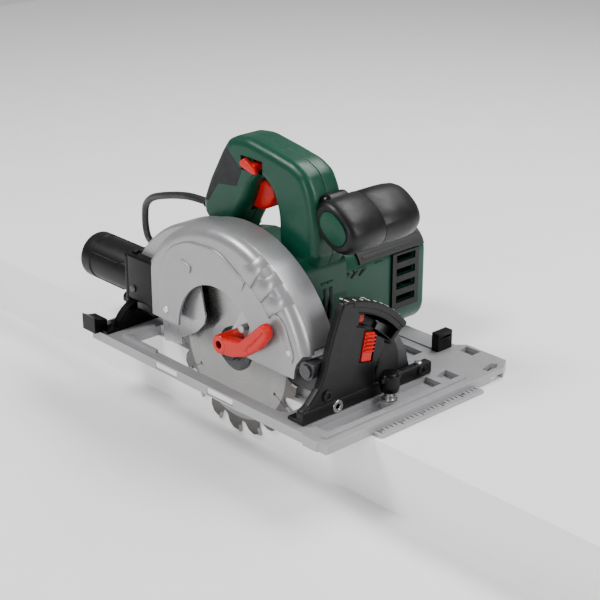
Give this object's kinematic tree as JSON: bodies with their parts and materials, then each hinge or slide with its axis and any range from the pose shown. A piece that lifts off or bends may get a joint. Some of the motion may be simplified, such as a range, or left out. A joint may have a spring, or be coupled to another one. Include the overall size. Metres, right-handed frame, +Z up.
{
  "type": "circular saw",
  "caption": "Corded circular saw on a rail base, with swinging lower guard, pivoting depth adjustment, bevel quadrant, loop handle and dust port.",
  "frame": {"origin": "on the sole, in the blade's plane, straight under the arbor", "axes": "+X in the cutting direction, +Y from the blade to the motor, +Z up"},
  "size_m": [0.4937, 0.262, 0.2618],
  "materials": {
    "cast_base": "light grey die casting, satin",
    "guard_metal": "silver grey paint, satin",
    "green_plastic": "dark green moulded plastic, fine grain",
    "charcoal_plastic": "charcoal moulded plastic, fine grain",
    "black_steel": "black steel, satin",
    "red_plastic": "signal red, semi-gloss",
    "rubber_grey": "soft grip rubber",
    "bumper_grey": "mid grey moulded strip",
    "blade_steel": "radially brushed saw steel",
    "carbide": "ground carbide",
    "bright_steel": "turned steel",
    "zinc_steel": "zinc plated",
    "gear_aluminium": "die cast",
    "lamination": "laminated iron",
    "copper": "enamelled copper",
    "carbon": "sintered carbon",
    "cord_rubber": "black rubber lead"
  },
  "bodies": {
    "base": {"base_plate": "cast_base", "front_quadrant": "charcoal_plastic", "rear_bracket": "charcoal_plastic", "bracket_screws": "zinc_steel", "groove_cap": "charcoal_plastic", "cord_lead": "cord_rubber", "cord_coil": "cord_rubber", "cord_tail": "cord_rubber", "mains_plug": "cord_rubber"},
    "tilt_frame": {"front_tilt_bracket": "black_steel", "rear_tilt_bracket": "black_steel", "depth_pivot_pin": "black_steel"},
    "saw": {"guard_cover": "guard_metal", "guard_housing": "guard_metal", "dust_adapter": "charcoal_plastic", "gear_case": "gear_aluminium", "gear_cover": "green_plastic", "motor_housing": "green_plastic", "motor_end_cap": "green_plastic", "vent_grilles": "charcoal_plastic", "handle_shell_near": "green_plastic", "handle_shell_far": "green_plastic", "grip_insert": "rubber_grey", "front_handle_core": "charcoal_plastic", "front_handle_cap": "rubber_grey", "front_handle_plug": "green_plastic", "motor_bumper": "bumper_grey", "strain_relief": "cord_rubber", "switch_module": "charcoal_plastic", "stator_core": "lamination", "field_windings": "copper", "brush_holders": "charcoal_plastic", "carbon_brushes": "carbon", "spindle_bearings": "bright_steel", "armature_bearings": "bright_steel", "depth_clamp_bolt": "zinc_steel", "guard_spring": "bright_steel"},
    "arbor": {"blade": "blade_steel", "carbide_tips": "carbide", "inner_flange": "black_steel", "outer_flange": "black_steel", "arbor_bolt": "black_steel", "spindle": "bright_steel", "drive_gear": "bright_steel"},
    "armature": {"armature_shaft": "bright_steel", "armature_core": "lamination", "commutator": "copper", "cooling_fan": "charcoal_plastic"},
    "swing_guard": {"lower_guard": "guard_metal", "guard_lever": "red_plastic", "lever_screw": "zinc_steel", "lever_rest_pin": "bright_steel"},
    "trigger": {"trigger": "red_plastic"},
    "lock_off": {"lock_off_button": "red_plastic"},
    "spindle_lock": {"spindle_lock_button": "red_plastic"},
    "bevel_clamp": {"rear_bevel_clamp": "charcoal_plastic"},
    "depth_clamp": {"depth_clamp_lever": "charcoal_plastic"},
    "guide_clamp": {"guide_clamp_screw": "zinc_steel", "guide_clamp_knob": "charcoal_plastic"},
    "bevel_stop": {"bevel_stop_slider": "red_plastic"}
  },
  "joints": [
    {"name": "bevel", "type": "hinge", "parent": "base", "child": "tilt_frame", "pos_m": [0, 0, 0], "axis": [1, 0, 0], "range_deg": [0, 45]},
    {"name": "depth", "type": "hinge", "parent": "tilt_frame", "child": "saw", "pos_m": [0.111, 0, 0.047], "axis": [0, 1, 0], "range_deg": [0, 28]},
    {"name": "armature_spin", "type": "hinge", "parent": "saw", "child": "armature", "pos_m": [0, 0.1, 0.0514], "axis": [0, 1, 0], "continuous": true},
    {"name": "blade_spin", "type": "hinge", "parent": "saw", "child": "arbor", "pos_m": [0, 0, 0.025], "axis": [0, 1, 0], "continuous": true},
    {"name": "guard_swing", "type": "hinge", "parent": "saw", "child": "swing_guard", "pos_m": [0, 0, 0.025], "axis": [0, 1, 0], "range_deg": [-140, 0]},
    {"name": "trigger_pull", "type": "hinge", "parent": "saw", "child": "trigger", "pos_m": [-0.004, 0.044, 0.167], "axis": [0, 1, 0], "range_deg": [0, 8], "stiffness_Nm_per_rad": 0.6, "springref_deg": -5.73},
    {"name": "lock_off_push", "type": "slide", "parent": "saw", "child": "lock_off", "axis": [0, 1, 0], "range_m": [0, 0.004], "stiffness_N_per_m": 600, "springref_m": -0.001},
    {"name": "spindle_lock_push", "type": "slide", "parent": "saw", "child": "spindle_lock", "axis": [-1, 0, 0], "range_m": [0, 0.003], "stiffness_N_per_m": 900, "springref_m": -0.001},
    {"name": "bevel_clamp_turn", "type": "hinge", "parent": "tilt_frame", "child": "bevel_clamp", "pos_m": [-0.145, -0.00417, 0.02971], "axis": [1, 0, 0], "range_deg": [0, 180]},
    {"name": "depth_clamp_turn", "type": "hinge", "parent": "saw", "child": "depth_clamp", "pos_m": [-0.06784, 0.025, 0.02662], "axis": [0, 1, 0], "range_deg": [-35, 0]},
    {"name": "guide_clamp_turn", "type": "hinge", "parent": "base", "child": "guide_clamp", "pos_m": [0.139, 0.049, 0.02], "axis": [0, 0, 1], "range_deg": [0, 360]},
    {"name": "bevel_stop_slide", "type": "slide", "parent": "base", "child": "bevel_stop", "axis": [0, 0.2079, 0.9781], "range_m": [0, 0.01]}
  ],
  "couplings": [
    {"joint": "blade_spin", "follows": "armature_spin", "ratio": -0.22222}
  ]
}
